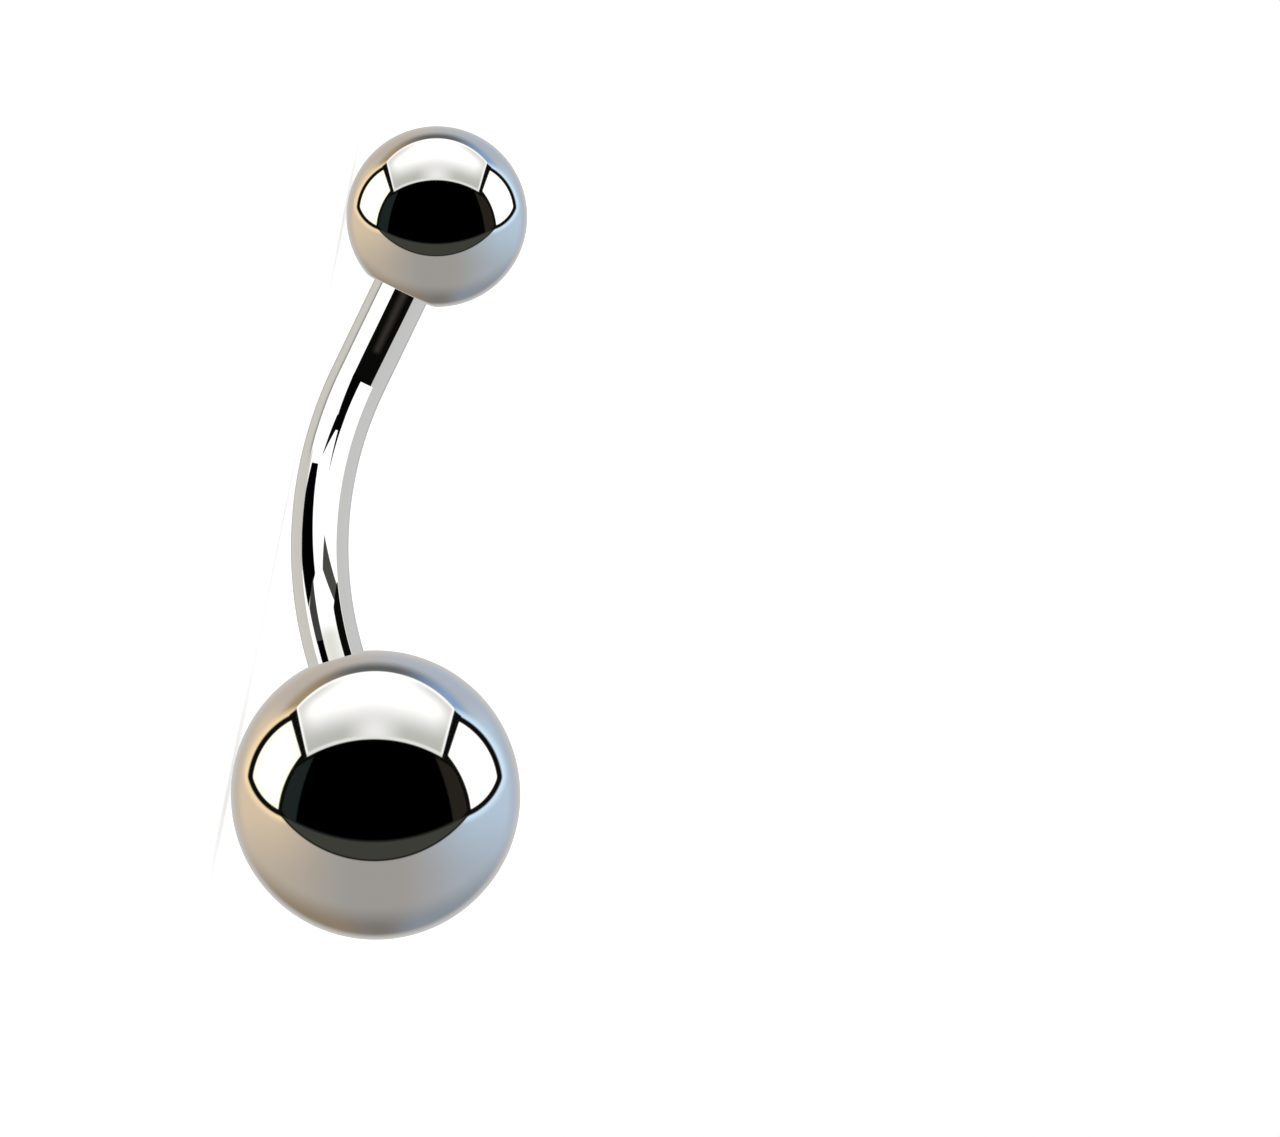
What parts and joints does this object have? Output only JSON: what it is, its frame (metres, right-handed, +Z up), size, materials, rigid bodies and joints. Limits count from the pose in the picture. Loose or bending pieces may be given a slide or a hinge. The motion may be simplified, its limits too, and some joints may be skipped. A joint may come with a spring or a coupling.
{
  "type": "navel ring",
  "caption": "Curved barbell for a navel piercing: a bent steel bar with a fixed lower ball and a smaller upper ball that screws off.",
  "frame": {"origin": "on the ground under the middle of the ring's box, as it lies on both balls with its bend hanging between them", "axes": "+X from the smaller upper ball to the lower ball, +Z up from the ground, towards the hollow side of the bend, and the bend's plane at y = 0"},
  "size_m": [0.0224, 0.008, 0.008],
  "materials": {
    "polished_bar": "mirror-polished surgical steel, with a cut thread",
    "polished_ball": "mirror-polished surgical steel"
  },
  "bodies": {
    "ring": {"bar": "polished_bar", "bottom_ball": "polished_ball"},
    "upper_ball": {"top_ball": "polished_ball"}
  },
  "joints": [
    {"name": "ball_unscrew", "type": "slide", "parent": "ring", "child": "upper_ball", "axis": [-0.9687, 0, 0.2483], "range_m": [0, 0.0029]}
  ]
}
